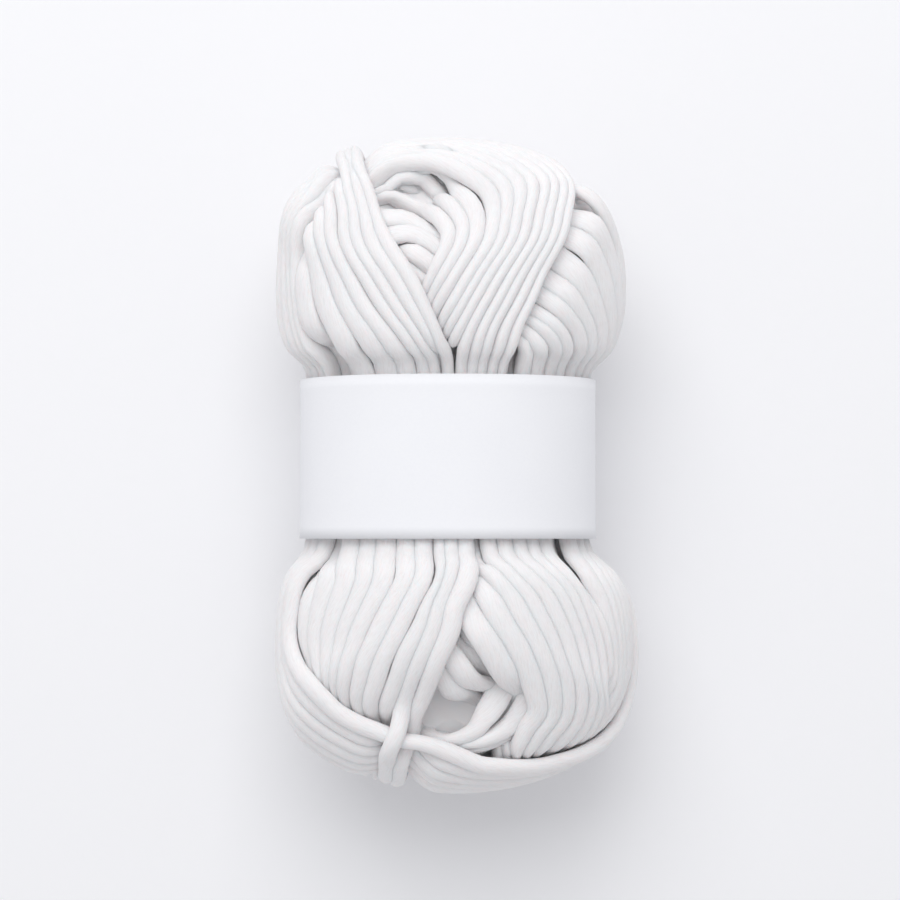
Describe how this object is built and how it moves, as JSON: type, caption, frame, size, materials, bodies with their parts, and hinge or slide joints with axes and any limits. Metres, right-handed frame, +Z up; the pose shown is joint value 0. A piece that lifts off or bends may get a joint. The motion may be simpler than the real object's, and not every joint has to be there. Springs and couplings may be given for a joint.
{
  "type": "ball of yarn",
  "caption": "Centre-pull ball of thick soft yarn, wound in crossing fans, lying on its side and nipped at the waist by a plain paper band.",
  "frame": {"origin": "centre of the ball's footprint, on the tabletop it lies on", "axes": "+Z up from the table, +Y along the ball from one hollow end to the other, +X across it"},
  "size_m": [0.1014, 0.1874, 0.0839],
  "materials": {
    "yarn": "matte, woolly",
    "paper": "smooth uncoated paper"
  },
  "bodies": {
    "root": {"wound_yarn": "yarn", "paper_band": "paper"}
  },
  "joints": []
}
